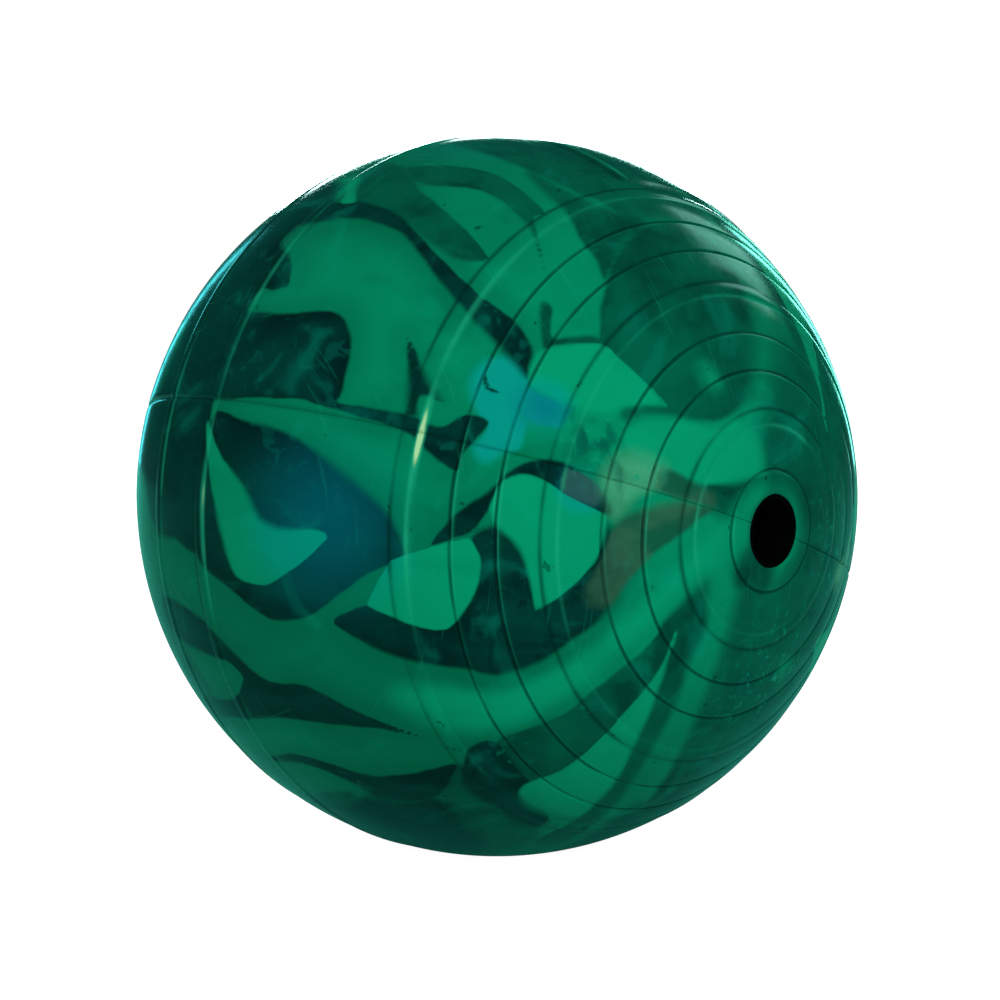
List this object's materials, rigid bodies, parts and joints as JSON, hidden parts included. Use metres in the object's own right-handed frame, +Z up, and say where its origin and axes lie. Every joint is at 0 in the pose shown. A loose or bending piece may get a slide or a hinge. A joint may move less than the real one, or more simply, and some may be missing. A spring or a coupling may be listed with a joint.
{
  "type": "maze ball puzzle",
  "caption": "Hollow ball in two halves with a lined entry hole and a stack of maze decks inside, where loose balls run in rings between the decks.",
  "frame": {"origin": "centre of the ball", "axes": "+X runs out of the entry hole, +Z is up, and the seam plane holds X and is turned 18.4 degrees about it"},
  "size_m": [0.1267, 0.1272, 0.1272],
  "materials": {
    "shell_green": "swirled translucent, polished",
    "liner_black": "fine matt",
    "deck_green": "satin",
    "spacer_grey": "satin",
    "steel": "plain zinc-bright",
    "ball_steel": "polished bearing ball"
  },
  "bodies": {
    "case": {"upper_shell": "shell_green", "lower_shell": "shell_green", "entry_tube": "liner_black", "start_deck": "deck_green", "second_deck": "deck_green", "gallery_disc": "deck_green", "middle_deck": "deck_green", "fourth_deck": "deck_green", "fifth_deck": "deck_green", "end_deck": "deck_green", "start_cup": "deck_green", "spine_rod": "steel", "spine_washer": "steel", "spine_nut": "steel", "spacer_1": "spacer_grey", "spacer_2": "spacer_grey", "spacer_3": "spacer_grey", "spacer_4": "spacer_grey", "spacer_5": "spacer_grey"},
    "loose_ball_1": {"steel_ball_1": "ball_steel"},
    "loose_ball_2": {"steel_ball_2": "ball_steel"},
    "loose_ball_3": {"steel_ball_3": "ball_steel"},
    "loose_ball_4": {"steel_ball_4": "ball_steel"}
  },
  "joints": [
    {"name": "ball_1_entry_slide", "type": "slide", "parent": "case", "child": "loose_ball_1", "axis": [1, 0, 0], "range_m": [0, 0.03]},
    {"name": "ball_2_front_run", "type": "hinge", "parent": "case", "child": "loose_ball_2", "pos_m": [0.0056, 0, 0], "axis": [1, 0, 0], "range_deg": [-145, 115]},
    {"name": "ball_3_drum_run", "type": "hinge", "parent": "case", "child": "loose_ball_3", "pos_m": [-0.025, 0, 0], "axis": [1, 0, 0], "range_deg": [-169, 169]},
    {"name": "ball_4_rear_run", "type": "hinge", "parent": "case", "child": "loose_ball_4", "pos_m": [-0.0405, 0, 0], "axis": [1, 0, 0], "range_deg": [-163, 93]}
  ]
}
